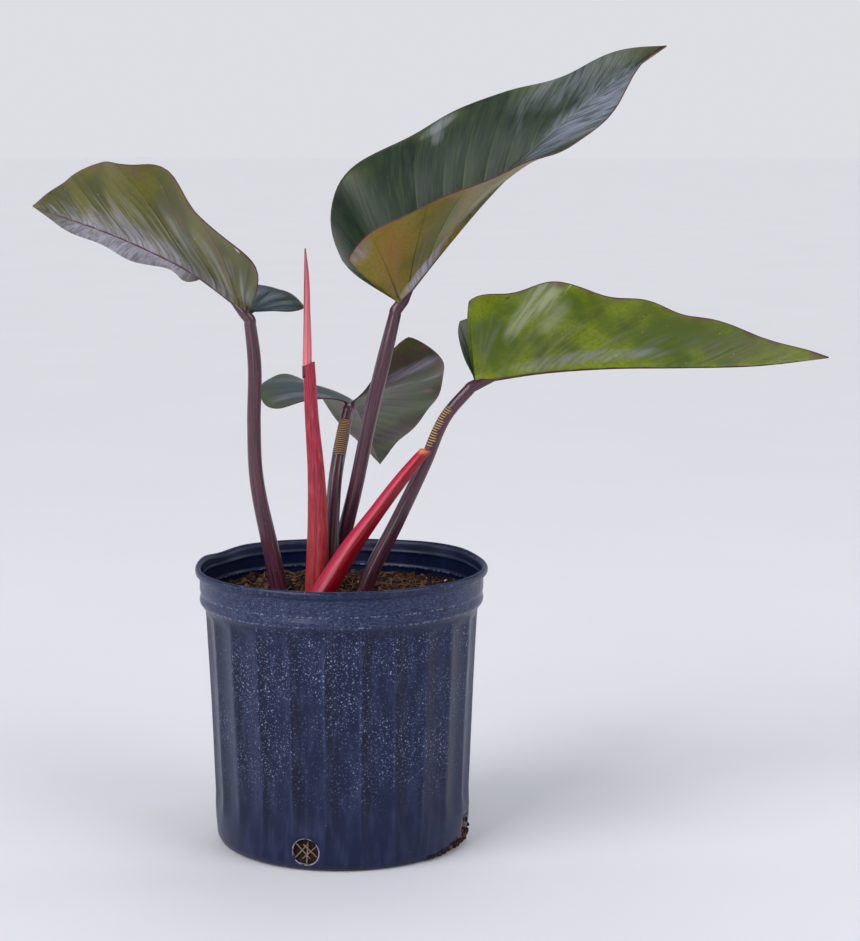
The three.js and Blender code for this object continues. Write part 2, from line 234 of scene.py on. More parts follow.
# The pot: a two-gallon nursery pot, blow-moulded in one piece from thin black polyethylene. The wall is
# fluted under a plain skirt, the rim is rolled outwards, and four holes are cut in the corner of the foot.
def piece(name, points, faces, finishes, stands_for=None, choice=None, marks=()):
    """Makes a smooth piece from points in millimetres, in the place of a node or as an extra, with marks for
    its finishes. `choice` says which finish each face has."""
    mesh = bpy.data.meshes.new(name)
    mesh.from_pydata((np.asarray(points) / 1000).tolist(), [], faces)
    for finish in finishes:
        mesh.materials.append(finish.material)
    if choice is not None:
        mesh.polygons.foreach_set("material_index", choice)
    for key, values in dict(marks).items():
        store = mesh.attributes.new(key, "FLOAT", "POINT").data
        store.foreach_set("value", np.asarray(values, float).ravel())
    work = bmesh.new()
    work.from_mesh(mesh)
    bmesh.ops.remove_doubles(work, verts=work.verts, dist=1e-6)
    bmesh.ops.dissolve_degenerate(work, edges=work.edges, dist=1e-7)
    bmesh.ops.recalc_face_normals(work, faces=work.faces)
    work.to_mesh(mesh)
    work.free()
    mesh.polygons.foreach_set("use_smooth", [True] * len(mesh.polygons))
    made = bpy.data.objects.new(name, mesh)
    bpy.context.collection.objects.link(made)
    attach(made, "root")
    if stands_for:
        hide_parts(stands_for)
    return made


def lattice(rows, columns, around=False, start=0):
    """The faces between points that stand in rows, closed into rings where they run around."""
    grid = start + np.arange(rows * columns).reshape(rows, columns)
    if around:
        grid = np.hstack([grid, grid[:, :1]])
    corners = [grid[:-1, :-1], grid[:-1, 1:], grid[1:, 1:], grid[1:, :-1]]
    return np.stack(corners, -1).reshape(-1, 4).tolist()


def along(values, t):
    """Values between evenly spaced ones, on a smooth curve that goes straight on past its ends."""
    values = np.asarray(values, float)
    x = np.asarray(t, float) * (len(values) - 1)
    i = np.clip(np.floor(x).astype(int), 0, len(values) - 2)
    f = (x - i).reshape(x.shape + (1,) * (values.ndim - 1))
    longer = np.concatenate([[2 * values[0] - values[1]], values, [2 * values[-1] - values[-2]]])
    a, b, c, d = (longer[i + k] for k in range(4))
    bend = (2 * a - 5 * b + 4 * c - d) * f**2 + (3 * (b - c) + d - a) * f**3
    inside = 0.5 * (2 * b + (c - a) * f + bend)
    return np.where(f < 0, b + f * (c - a) / 2, np.where(f > 1, c + (f - 1) * (d - b) / 2, inside))


def soft_step(value, low, high):
    """0 below `low` and 1 above `high`, with a soft step between, for numbers."""
    share = np.clip((value - low) / (high - low), 0, 1)
    return share * share * (3 - 2 * share)


def filleted(corners, radius, longest):
    """A profile with its corners rounded and its straight runs split."""
    corners = np.asarray(corners, float)
    made = [corners[0]]
    for before, corner, after in zip(corners, corners[1:], corners[2:]):
        back, ahead = before - corner, after - corner
        cut = min(radius, np.linalg.norm(back) * 0.45, np.linalg.norm(ahead) * 0.45)
        start = corner + back / np.linalg.norm(back) * cut
        end = corner + ahead / np.linalg.norm(ahead) * cut
        made += [(1 - s) ** 2 * start + 2 * s * (1 - s) * corner + s * s * end for s in (0, 0.33, 0.67, 1)]
    made.append(corners[-1])
    split = [made[0]]
    for before, after in zip(made, made[1:]):
        parts = max(1, math.ceil(np.linalg.norm(after - before) / longest))
        split += [before + (after - before) * k / parts for k in range(1, parts + 1)]
    return np.array(split)


# radius and height, from the middle of the foot up the outside, over the rim and down the inside
POT_PROFILE = [
    (0, 0), (60, 0), (91, 0), (95, 1.8), (97, 6), (98, 18), (98.6, 28), (98.3, 42), (101.2, 112), (104, 176),
    (104.4, 182), (108.2, 187), (108.7, 189.5), (107.6, 194), (108.5, 197), (108.5, 207), (111.5, 208.5),
    (112, 212), (110.8, 214), (108.4, 213.6), (107.3, 211), (106.9, 206.5), (106, 205), (106.9, 203.5),
    (106.9, 196), (105.9, 194.3), (106.7, 192.6), (106.7, 188), (102.4, 181), (96.5, 34), (94.8, 7),
    (92, 2.4), (60, 2.4), (0, 2.4),
]
FLUTES = 24
FLUTE_DEPTH = 2
FIRST_RIDGE = math.radians(7.5)
# how far the rim stands above its level, every 15 degrees round from the back
RIM_LIFT = [
    1, 1.1, 1.7, 1.9, 0.1, 2, 0.8, 0.1, 0, -0.2, 0.1, 0.1, -0.1,
    0, 0.2, 0, 0, 0.1, 0, 0.6, 2.2, 2.3, 1.6, 0.9, 1,
]
DRAIN_HOLES = [math.radians(-16.5 + 90 * k) for k in range(4)]
DRAIN_HEIGHT = 15
DRAIN_RADIUS = 10

profile = filleted(POT_PROFILE, 1.2, 9)
turn = np.linspace(0, math.tau, FLUTES * 16, endpoint=False)
azimuth = turn + FIRST_RIDGE
radius, height = profile[:, :1], profile[:, 1:]
fluted = soft_step(height, 18, 40) * (1 - soft_step(height, 175, 182))
scallop = np.sqrt(np.sin(turn * FLUTES / 2) ** 2 + 0.004) - 0.06
dents = 0.25 * np.sin(3 * azimuth + height / 60) + 0.15 * np.sin(7 * azimuth - height / 25)
radii = radius - FLUTE_DEPTH * fluted * scallop + dents * soft_step(height, 20, 60) * (radius > 90)
share_round = ((azimuth + math.pi) % math.tau) / math.tau
heights = height + along(RIM_LIFT, share_round) * soft_step(height, 196, 212)
points = np.stack([radii * np.sin(azimuth), -radii * np.cos(azimuth), heights], -1)

plastic = Finish("dusty_black_plastic", {"Specular IOR Level": 0.28})
x, y, z = (plastic.node("SeparateXYZ", {}, {0: plastic.place}, axis) * 1000 for axis in "XYZ")
inside = (1 - ((x * x + y * y) ** 0.5).rise(107.2, 107.8)) * z.rise(186, 188)
drawn_up = plastic.node("Mapping", {}, {0: plastic.place, "Scale": (1, 1, 0.2)})
drawn_round = plastic.node("Mapping", {}, {0: plastic.place, "Scale": (1, 1, 3.5)})
dusty = z.rise(30, 100) * (0.25 + 0.75 * plastic.cloud(40).rise(0.38, 0.6))
dusty = dusty * (1 - 0.45 * z.rise(170, 184)) * (1 - inside)
jitter = plastic.node("TexNoise", {}, {"Vector": plastic.place, "Scale": 900}, "Color")
jitter = plastic.node("VectorMath", {"operation": "SCALE"}, {0: jitter, 3: 0.0011})
uneven = plastic.node("VectorMath", {"operation": "ADD"}, {0: plastic.place, 1: jitter})
specks = (plastic.dots(1.5, 0.5, 0.85, uneven) * 0.5 + plastic.dots(2.7, 0.75, 0.5, uneven) * 0.75) * dusty
film = plastic.cloud(5, 5, drawn_up).rise(0.4, 0.75) * (1 - 0.7 * inside)
# Pale streaks round the rim and skirt: scuffs, and a painted sheen that copies their rough highlights.
rim_scuffs_and_sheen = 0.1 + 0.6 * plastic.cloud(3, 6, drawn_round).rise(0.42, 0.7)
rim_scuffs_and_sheen = rim_scuffs_and_sheen * z.rise(181, 188) * (1 - 0.7 * z.rise(207, 209)) * (1 - inside)
# Lighter along the flute ridges: scuffs, with a painted highlight where the ridges catch the light.
ridge_wear_and_highlight = plastic.mark("ridge") * plastic.cloud(20, 4).rise(0.3, 0.7)
lime = 0
for ledge, reach in ((186.4, 1.1), (194.3, 0.8)):
    away = plastic.node("Math", {"operation": "ABSOLUTE"}, {0: z - ledge})
    lime = lime + (1 - away.rise(reach * 0.3, reach))
lime = lime * plastic.cloud(2.2).rise(0.5, 0.62)
color = plastic.layered(
    plastic.blend(plastic.cloud(30), (8, 19, 48), (12, 25, 58)),
    (rim_scuffs_and_sheen, (66, 76, 108)), (ridge_wear_and_highlight * 0.22, (84, 92, 134)), (plastic.mark("shade") * 0.6, (2, 6, 22)),
    (film * 0.26, (58, 70, 104)), (specks, (128, 142, 172)), (lime * 0.6, (132, 138, 172)),
)
for hole in DRAIN_HOLES[:2]:
    aside = x * math.cos(hole) + y * math.sin(hole)
    from_hole = (aside * aside + (z - DRAIN_HEIGHT) ** 2) ** 0.5
    flashing = 1 - from_hole.rise(DRAIN_RADIUS + 0.2, DRAIN_RADIUS + 1)
    color = plastic.blend(flashing * plastic.cloud(4).rise(0.36, 0.5), color, (150, 148, 162))
rust = plastic.dots(7, 0.7, 0.25) * plastic.cloud(25).rise(0.42, 0.6)
plastic.wear({
    "Base Color": plastic.blend(rust * 0.8, color, (120, 80, 56)),
    "Roughness": 0.27 + 0.15 * film + 0.25 * specks + 0.08 * plastic.cloud(12),
})
plastic.relief(plastic.cloud(1.4, 4) * 0.6 + specks * 0.8 + plastic.cloud(9) * 0.8, 0.12)

flute_place = (turn * FLUTES / math.tau) % 1
# Marks on the flutes: the ridge, which carries a painted highlight, and the band beside it, which carries
# painted shade.
ridge = np.exp(-((np.minimum(flute_place, 1 - flute_place) / 0.04) ** 2))
shade = soft_step(flute_place, 0.02, 0.07) * (1 - soft_step(flute_place, 0.12, 0.5))
faces = lattice(*points.shape[:2], around=True)
marks = {"ridge": fluted * ridge, "shade": fluted * shade}
pot = piece("pot", points.reshape(-1, 3), faces, [plastic], "nursery_pot", marks=marks)


def punch(shell, hole):
    """Cuts one drain hole through the wall."""
    radius, wall, level = DRAIN_RADIUS / 1000, 97 / 1000, DRAIN_HEIGHT / 1000
    c, s = math.cos(hole), math.sin(hole)
    drill = bmesh.new()
    bmesh.ops.create_cone(drill, cap_ends=True, segments=64, radius1=radius, radius2=radius, depth=0.03)
    for vert in drill.verts:
        x, y, z = vert.co
        vert.co = (x, z - wall, y + level)
        x, y, z = vert.co
        vert.co = (x * c - y * s, x * s + y * c, z)
    bmesh.ops.recalc_face_normals(drill, faces=drill.faces)
    tool_mesh = bpy.data.meshes.new("punch")
    drill.to_mesh(tool_mesh)
    drill.free()
    tool = bpy.data.objects.new("punch", tool_mesh)
    bpy.context.collection.objects.link(tool)
    cut = shell.modifiers.new("cut", "BOOLEAN")
    cut.operation = "DIFFERENCE"
    cut.object = tool
    bpy.context.view_layer.update()
    result = bpy.data.meshes.new_from_object(shell.evaluated_get(bpy.context.evaluated_depsgraph_get()))
    shell.modifiers.clear()
    shell.data = result
    bpy.data.objects.remove(tool)


for hole in DRAIN_HOLES:
    punch(pot, hole)


# The soil: a peat and coir mix that fills the pot to the skirt and was pressed in by hand. Crumbs, white
# perlite and brown coir fibres lie on it, and some has washed out of a drain hole.
SOIL_LEVEL = 190.5
SOIL_RADIUS = 106.3
SOIL_FOOT = [(106.3, 188.5), (101.6, 182), (99.2, 176), (93.8, 34), (94.2, 7.2), (91.5, 2.7), (0, 2.7)]


def soil_height(x, y):
    place = Vector((x / 16, y / 16, 0))
    rough = noise.fractal(place, 1, 2.1, 5)
    return SOIL_LEVEL - 1 + 2.1 * rough + 1.3 * math.sin(x / 30 + 1) * math.cos(y / 26)


ring = np.linspace(0, math.tau, 260, endpoint=False)


def soil_ring(share):
    places = [(share * SOIL_RADIUS * math.cos(a), share * SOIL_RADIUS * math.sin(a)) for a in ring]
    return [(x, y, soil_height(x, y)) for x, y in places]


surface = np.array([soil_ring(share) for share in (*np.linspace(0.004, 0.96, 84), 0.98, 1)])
foot = filleted(SOIL_FOOT, 1, 30)
below = np.array([[(r * math.cos(a), r * math.sin(a), z) for a in ring] for r, z in foot])
mass = np.concatenate([surface, below])

earth = Finish("peat_and_coir", {"Roughness": 0.95, "Specular IOR Level": 0.2})
grains = earth.cloud(2.5, 6)
dry = earth.cloud(28).rise(0.45, 0.65)
damp_color = earth.blend(grains, (20, 14, 12), (58, 42, 33))
dry_color = earth.blend(grains, (52, 37, 28), (112, 82, 62))
earth.wear({"Base Color": earth.blend(dry * 0.75, damp_color, dry_color)})
earth.relief(earth.cloud(2, 8), 1.6)

faces = lattice(len(mass), len(ring), around=True)
piece("soil", mass.reshape(-1, 3), faces, [earth], "potting_soil")

# where each stalk and sheath stands in the soil, and how far round it stays clear
STALK_FEET = [(-46, 13, 8), (-10, 38, 8), (17, 12, 9), (-9, 19, 7), (-19, 6, 11), (-18, -17, 12)]
random.seed(7)


def lumps(places, roughness):
    """Irregular lumps as one mesh: each place is a centre and a size. Returns points, faces and tones."""
    ball = bmesh.new()
    bmesh.ops.create_icosphere(ball, subdivisions=2, radius=1)
    shape = [vert.co.copy() for vert in ball.verts]
    sides = [[vert.index for vert in face.verts] for face in ball.faces]
    ball.free()
    points, faces, tones = [], [], []
    for centre, size in places:
        start = len(points)
        seed = Vector([random.uniform(0, 90) for _ in range(3)])
        stretch = [random.uniform(0.65, 1.25) for _ in range(3)]
        for co in shape:
            reach = size * (1 + roughness * noise.noise(co * 1.6 + seed))
            points.append([c + reach * s * k for c, s, k in zip(centre, co, stretch)])
        faces += [[start + i for i in side] for side in sides]
        tones += [random.random()] * len(shape)
    return points, faces, tones


def on_the_soil(count, smallest, largest, sink):
    """Random places on the soil between the stalks, with mostly small sizes."""
    made = []
    while len(made) < count:
        x, y = (random.uniform(-104, 104) for _ in range(2))
        size = smallest + (largest - smallest) * random.random() ** 3
        near_stalk = any(math.hypot(x - a, y - b) < r + size for a, b, r in STALK_FEET)
        if math.hypot(x, y) < 103 - size and not near_stalk:
            made.append(((x, y, soil_height(x, y) + size * sink), size))
    return made


crumb = Finish("dark_crumbs", {"Roughness": 0.95, "Specular IOR Level": 0.15})
tone = crumb.mark("tone")
speckle = crumb.blend(crumb.cloud(1.2, 5), (20, 14, 12), (68, 49, 38))
crumb.wear({"Base Color": crumb.blend(tone.rise(0.6, 1.1), speckle, (118, 84, 66))})
crumb.relief(crumb.cloud(1, 6), 0.6)
points, faces, tones = lumps(on_the_soil(1700, 0.5, 3.6, 0.2), 1.0)
piece("soil_crumbs", points, faces, [crumb], marks={"tone": tones})

foam = matt("perlite_foam", 0.8, (1.5, 4), (190, 184, 175), (240, 238, 234), (0.6, 4), 0.25)
pearls = on_the_soil(46, 0.6, 2.0, 0.5)
pearls += [((-74, -34, soil_height(-74, -34) + 1.4), 2.6), ((-20, -48, soil_height(-20, -48) + 1), 2.2)]
points, faces, tones = lumps(pearls, 0.6)
piece("perlite", points, faces, [foam])


def unit(vectors):
    return vectors / np.linalg.norm(vectors, axis=-1, keepdims=True)


def hairs(strands, thickness, sides=5):
    """Thin tubes as one mesh, each along its own points."""
    points, faces = [], []
    turns = [math.tau * k / sides for k in range(sides)]
    for strand in strands:
        path = along(strand, np.linspace(0, 1, 4 * len(strand)))
        heading = unit(np.gradient(path, axis=0))
        right = unit(np.cross(heading, (0.31, 0.17, 0.93)))
        back = np.cross(heading, right)
        radius = thickness * random.uniform(0.6, 1.3) * (1 - 0.6 * np.linspace(0, 1, len(path)) ** 3)[:, None]
        start = len(points)
        for k in range(len(path)):
            points += [path[k] + radius[k] * (right[k] * math.cos(a) + back[k] * math.sin(a)) for a in turns]
        faces += lattice(len(path), sides, around=True, start=start)
        faces += [list(range(start, start + sides)), list(range(len(points) - sides, len(points)))]
    return points, faces


def wandering(start, heading, length, lift):
    """A strand that wanders over the soil, or above it where it lifts."""
    strand = []
    x, y = start
    for k in range(7):
        above = 0.5 + lift * math.sin(math.pi * k / 6) + random.uniform(-0.6, 0.8)
        strand.append((x, y, soil_height(x, y) + above))
        heading += random.uniform(-0.5, 0.5)
        x += length / 6 * math.cos(heading)
        y += length / 6 * math.sin(heading)
        if math.hypot(x, y) > 104:
            break
    return strand


strands = []
while len(strands) < 330:
    x, y = (random.uniform(-95, 95) for _ in range(2))
    if math.hypot(x, y) < 99:
        lift = 7 * random.random() ** 5
        strand = wandering((x, y), random.uniform(0, math.tau), random.uniform(8, 34), lift)
        if len(strand) > 3:
            strands.append(strand)

fibre = matt("coir_fibre", 0.7, (9, 3), (78, 54, 38), (160, 120, 84), (0.5, 3), 0.05)
points, faces = hairs(strands, 0.26)
piece("coir_fibres", points, faces, [fibre])


# The drain holes: roots of the plant grew to each of them and cross it inside the wall, and soil that washed
# out with the water clings to the foot by the right one.
roots = []
for hole in DRAIN_HOLES:
    outward = np.array([math.sin(hole), -math.cos(hole), 0])
    sideways = np.array([math.cos(hole), math.sin(hole), 0])
    for tilt, aside in ((0.85, -4), (0.75, 3.5), (-0.8, -2.5), (-0.7, 4.5), (1.5, 1)):
        centre = outward * random.uniform(95.2, 96.1) + sideways * aside
        centre[2] = DRAIN_HEIGHT + random.uniform(-1, 1)
        run = sideways * math.cos(tilt) + np.array([0, 0, math.sin(tilt)])
        bow = outward * random.uniform(0, 0.5)
        roots.append([centre + run * s * 8.6 + bow * (1 - s * s) for s in (-1, -0.5, 0, 0.5, 1)])
root = matt("pale_root", 0.6, (4, 3), (70, 50, 40), (150, 122, 100), (0.8, 3), 0.1)
points, faces = hairs(roots, 0.5, 8)
piece("drain_roots", points, faces, [root])

spilled = []
for _ in range(130):
    angle = math.radians(random.uniform(42, 82))
    up = abs(random.gauss(0, 5.5)) * soft_step(math.degrees(angle), 40, 80) + 2.4
    wall = np.interp(up, [0, 1.8, 6, 18], [92.5, 95.2, 97.2, 98.4])
    spilled.append(((wall * math.sin(angle), -wall * math.cos(angle), up), random.uniform(0.4, 1.5)))
points, faces, tones = lumps(spilled, 0.9)
piece("spilled_soil", points, faces, [crumb], marks={"tone": tones})


# The leaf stalks: firm, juicy and almost round, smooth and mauve-brown. Each rises from the crown under the
# soil and runs on into the midrib of its blade. Two have corky tan rings where they rubbed against others.
STALKS = {
    "left": {
        "path": [
            (-41, 14, 158), (-53, 13, 218), (-64, 11, 275), (-66, 10, 320), (-65, 10, 365), (-69, 10, 406),
        ],
        "radii": [6.6, 6.4, 5.6, 5.3, 5.2, 4.3],
    },
    "top": {
        "path": [(-17, 40, 158), (-3, 37, 211), (11, 31, 267), (23, 26, 325), (34, 22, 371), (44, 20, 412)],
        "radii": [6.4, 6.1, 5.7, 5.6, 5.5, 4.4],
    },
    "right": {
        "path": [(6, 11, 160), (22, 12, 203), (43, 12, 245), (64, 12, 289), (80, 12, 325), (103, 12, 352)],
        "radii": [6.3, 6.1, 5.7, 5.2, 4.6, 4.4],
        "cork": {"from": 0.66, "to": 0.85, "turn": 212, "spread": 62},
    },
    "rear": {
        "path": [
            (-10, 19, 158), (-8, 21, 200), (-7, 25, 241), (-4, 33, 277), (1.7, 46, 307), (6.6, 55.4, 329.3),
        ],
        "radii": [6, 5.9, 5.7, 5.4, 5.1, 4.4],
        "cork": {"from": 0.69, "to": 0.9, "turn": 235, "spread": 95},
    },
}
MIDRIBS = {
    "left": [
        (-69, 10, 407), (-110, 14, 437), (-149, 34, 455), (-184, 64, 467), (-215, 98, 475), (-246, 134, 483),
    ],
    "top": [(44, 20, 413), (80, 24, 457), (117, 24, 499), (158, 22, 538), (202, 18, 575), (246, 12, 606)],
    "right": [(103, 12, 354), (154, 14, 361), (207, 14, 364), (263, 14, 364), (319, 12, 365), (374, 8, 371)],
    "rear": [(7, 56, 331), (10, 96, 329), (14, 138, 317), (20, 176, 300), (27, 210, 279), (34, 242, 257)],
}


def heading_along(path, t):
    return unit(along(path, t + 0.01) - along(path, t - 0.01))


def rings_along(path, count, sides, radius_at):
    """Rings of points square to a path. `radius_at` takes the place along it and the angle round it."""
    t = np.linspace(0, 1, count)
    path = along(path, t)
    heading = unit(np.gradient(path, axis=0))
    right = unit(np.cross((0, 1, 0), heading[0]))
    angle = np.linspace(0, math.tau, sides, endpoint=False)
    rings = []
    for k in range(len(path)):
        right = unit(right - heading[k] * np.dot(right, heading[k]))
        back = np.cross(heading[k], right)
        reach = radius_at(t[k], angle)[:, None]
        rings.append(path[k] + reach * (np.cos(angle)[:, None] * right + np.sin(angle)[:, None] * back))
    return np.array(rings), t, angle


def stem(name, rings, finish, stands_for, marks):
    """Makes a tube of rings, with a flat end at either side."""
    count, sides = rings.shape[:2]
    last = (count - 1) * sides
    ends = [list(range(sides)), list(range(last, last + sides))]
    faces = lattice(count, sides, around=True) + ends
    piece(name, rings.reshape(-1, 3), faces, [finish], stands_for, marks=marks)


def grain_marks(rings, angle):
    """Where a point lies round the stem and up it, in millimetres, for marks that run lengthwise."""
    step = np.linalg.norm(np.diff(rings.mean(axis=1), axis=0), axis=1)
    up = np.concatenate([[0], np.cumsum(step)])
    shape = rings.shape[:2]
    return {
        "grain_x": np.broadcast_to(np.cos(angle) * 5, shape),
        "grain_y": np.broadcast_to(np.sin(angle) * 5, shape),
        "grain_up": np.broadcast_to(up[:, None], shape),
    }


def grain(finish, stretch):
    """A place on the unrolled stem, in metres, where marks are `stretch` times as long as wide."""
    across = [finish.mark(key) * 0.001 for key in ("grain_x", "grain_y")]
    sockets = {0: across[0], 1: across[1], 2: finish.mark("grain_up") * (0.001 / stretch)}
    return finish.node("CombineXYZ", {}, sockets)


stalk_skin = Finish("mauve_stalk", {"Specular IOR Level": 0.3, "Coat Roughness": 0.2})
lines = stalk_skin.cloud(1.1, 4, grain(stalk_skin, 30))
patches = stalk_skin.cloud(14, 3, grain(stalk_skin, 5))
flecks = stalk_skin.dots(2.6, 0.35, 0.25, grain(stalk_skin, 1.5))
green_side = patches.rise(0.5, 0.75)
cork = stalk_skin.mark("cork")
ridge = stalk_skin.mark("cork_ridge").rise(0.25, 0.75)
color = stalk_skin.layered(
    stalk_skin.blend(lines.rise(0.35, 0.65), (50, 20, 34), (86, 42, 58)),
    (green_side * 0.45, (80, 60, 56)), (flecks * 0.5, (136, 108, 118)),
    (cork, stalk_skin.blend(ridge, (40, 28, 30), (172, 138, 100))),
)
stalk_skin.wear({
    "Base Color": color,
    "Roughness": 0.34 + 0.12 * patches + 0.4 * cork,
    "Coat Weight": 0.6 * (1 - cork),
})
stalk_skin.relief(lines * 0.7 + stalk_skin.cloud(0.5, 3) * cork, 0.12)

# The last part of a stalk runs on inside the midrib: how far along and under it, and how thick it still is.
TUCKED_ALONG = np.array([0.012, 0.03, 0.05, 0.072])
TUCKED_UNDER = np.array([2.8, 2.2, 1.5, 0.8])
TUCKED_RADII = [4.1, 3.2, 2.2, 1.2]
# How much of a stalk stands free, how long that part is, and how far apart the cork rings on it are.
FREE_SHARE = 0.96217
FREE_LENGTH = 178
CORK_RING_SPACING = 1.9

for name, stalk in STALKS.items():
    path, midrib = stalk["path"], MIDRIBS[name]
    free = np.linspace(0, 0.975, 60)
    over = heading_along(midrib, 0.05)
    up = unit(np.cross(np.cross(over, (0, 0, 1)), over))
    tucked = along(midrib, TUCKED_ALONG) - up * TUCKED_UNDER[:, None]
    route = np.concatenate([along(path, free), tucked])
    radii = np.concatenate([along(stalk["radii"], free), TUCKED_RADII])
    rng = np.random.default_rng(sum(map(ord, name)))
    phase = rng.uniform(0, math.tau, 3)
    rubbed = stalk.get("cork", {"from": 2, "to": 3, "turn": 0, "spread": 1})

    def cork_share(t, angle):
        t = t / FREE_SHARE
        off = np.abs((np.degrees(angle) - rubbed["turn"] + 180) % 360 - 180)
        wander = 6 * np.sin(t * 240 + phase[0]) + 8 * np.sin(t * 97 + phase[1])
        sides = 1 - soft_step(off + wander, rubbed["spread"] * 0.75, rubbed["spread"])
        ends = soft_step(t, rubbed["from"], rubbed["from"] + 0.012)
        return sides * ends * (1 - soft_step(t, rubbed["to"] - 0.012, rubbed["to"]))

    def cork_ring(t, angle):
        rings_up = t / FREE_SHARE * FREE_LENGTH / CORK_RING_SPACING
        return 0.5 + 0.5 * np.sin(math.tau * (rings_up + 0.25 * np.sin(angle * 2 + phase[2])))

    def stalk_radius(t, angle):
        uneven = 1 + 0.02 * np.cos(3 * angle + phase[0]) + 0.015 * np.sin(2 * angle + 9 * t)
        return along(radii, t) * uneven + 0.35 * cork_share(t, angle) * cork_ring(t, angle)

    rings, t, angle = rings_along(route, 460, 48, stalk_radius)
    marks = grain_marks(rings, angle)
    marks["cork"] = [cork_share(place, angle) for place in t]
    marks["cork_ridge"] = [cork_ring(place, angle) for place in t]
    stem(name + "_stalk", rings, stalk_skin, name + "_leaf_petiole", marks)


# The leaf blades: waxy and leathery, under a millimetre thick, dark green above and olive below, with a thin
# purple margin. Each grew on its midrib, a stout rib below, and folds up along it. The side veins fan out
# from the stalk and then leave the midrib evenly, and the blade bulges a little between them.
BLADE_HALF_THICKNESS = 0.4
FOLD_FROM = -0.2
# the root of each side vein on the midrib, how far along its end on the margin is, and how far out
SPECIES_MARGIN = [
    (0, 0, 0), (0, -0.035, 0.13), (0, -0.085, 0.31), (0, -0.1, 0.53), (0, -0.07, 0.74), (0, 0.01, 0.92),
    (0.01, 0.12, 1), (0.04, 0.24, 0.985), (0.11, 0.36, 0.91), (0.21, 0.48, 0.78), (0.34, 0.6, 0.62),
    (0.49, 0.72, 0.45), (0.65, 0.82, 0.3), (0.82, 0.92, 0.14), (1, 1, 0),
]
# the rib's width and height, the waves of the margin, and for each half its width, the size of its lobe, and
# the folds and curls along it in degrees
LEAVES = {
    "left": {
        "rib": (4.6, 3), "waves": (7, 3.44, 0.3), "quilt": 1.5, "cords": 1,
        "left": (86, 0, [20, 20, 54, 71, 78, 81], [-35, -1, 0, -4, 0, -2]),
        "right": (76.5, 1.2, [86, 45, 0, -27, -45, -53], [-150, -84, -25, -15, 24, -8]),
    },
    "top": {
        "rib": (5.5, 3.5), "waves": (11, 1.95, 1.05), "quilt": 0.5, "cords": 0.9,
        "left": (96, 0.1, [-15, 65, 73, 59, 43, 95], [-60, -40, -29, -4, -11, -7]),
        "right": (91, 0.07, [52, 33, 12, -14, -33, 4], [-15, 10, 28, 18, 31, -14]),
    },
    "right": {
        "rib": (4.6, 3), "waves": (5, 4.17, 0.09), "quilt": 1.1, "cords": 0.45,
        "left": (83, 0.2, [73, 32, 33, 41, 50, 60], [1, -3, -2, -1, 0, 0]),
        "right": (83, 0.13, [52, 62, 59, 56, 58, 61], [-8, -13, -7, -11, 17, 5]),
    },
    "rear": {
        "rib": (4.5, 3), "waves": (1, 3, 0), "quilt": 0.22, "cords": 0.12,
        "left": (75, 1, [22, 29, 30, 32, 25, 23], [-92, -61, -27, -1, 6, 1]),
        "right": (79, 0.28, [95, 24, 4, 4, 11, 26], [33, 32, 29, 15, -5, -3]),
    },
}
# The tones of the skins; the pale bloom tone paints a wax bloom that is also a painted sheen along the ribs.
SPECIES_TONES = {
    "upper": (38, 54, 34), "upper_deep": (24, 40, 30), "upper_vein": (78, 92, 52),
    "under": (92, 92, 22), "under_deep": (62, 66, 24), "under_vein": (46, 40, 26),
    "flush": (104, 62, 56), "margin": (84, 44, 56), "midrib": (72, 28, 42),
    "bloom_and_sheen": (140, 140, 134), "bloom_and_sheen_share": 0.35, "bloom_and_sheen_reach": 0.8,
}
LEAF_TONES = {
    "left": {
        "under": (94, 92, 14), "under_deep": (66, 68, 20), "bloom_and_sheen_share": 0.58, "bloom_and_sheen_reach": 0.76,
        "bloom_and_sheen": (132, 132, 136),
    },
    "top": {
        "under": (136, 116, 34), "under_deep": (98, 94, 34), "flush": (140, 92, 58),
        "bloom_and_sheen_share": 0.2,
    },
    "right": {
        "under": (122, 138, 12), "under_deep": (80, 98, 22), "under_vein": (62, 74, 24),
        "bloom_and_sheen_share": 0.22,
    },
    "rear": {
        "under": (60, 80, 12), "under_deep": (58, 40, 30), "upper": (58, 74, 70),
        "upper_deep": (44, 60, 62), "upper_vein": (104, 120, 124), "under_vein": (84, 94, 62),
        "bloom_and_sheen_share": 0.06,
    },
}
CHALK, SMOKE, PITCH = (196, 194, 186), (146, 150, 158), (30, 24, 28)
# the lavender is the tint of painted sheen
LAVENDER_SHEEN, FLUSH = (150, 146, 160), (106, 62, 66)
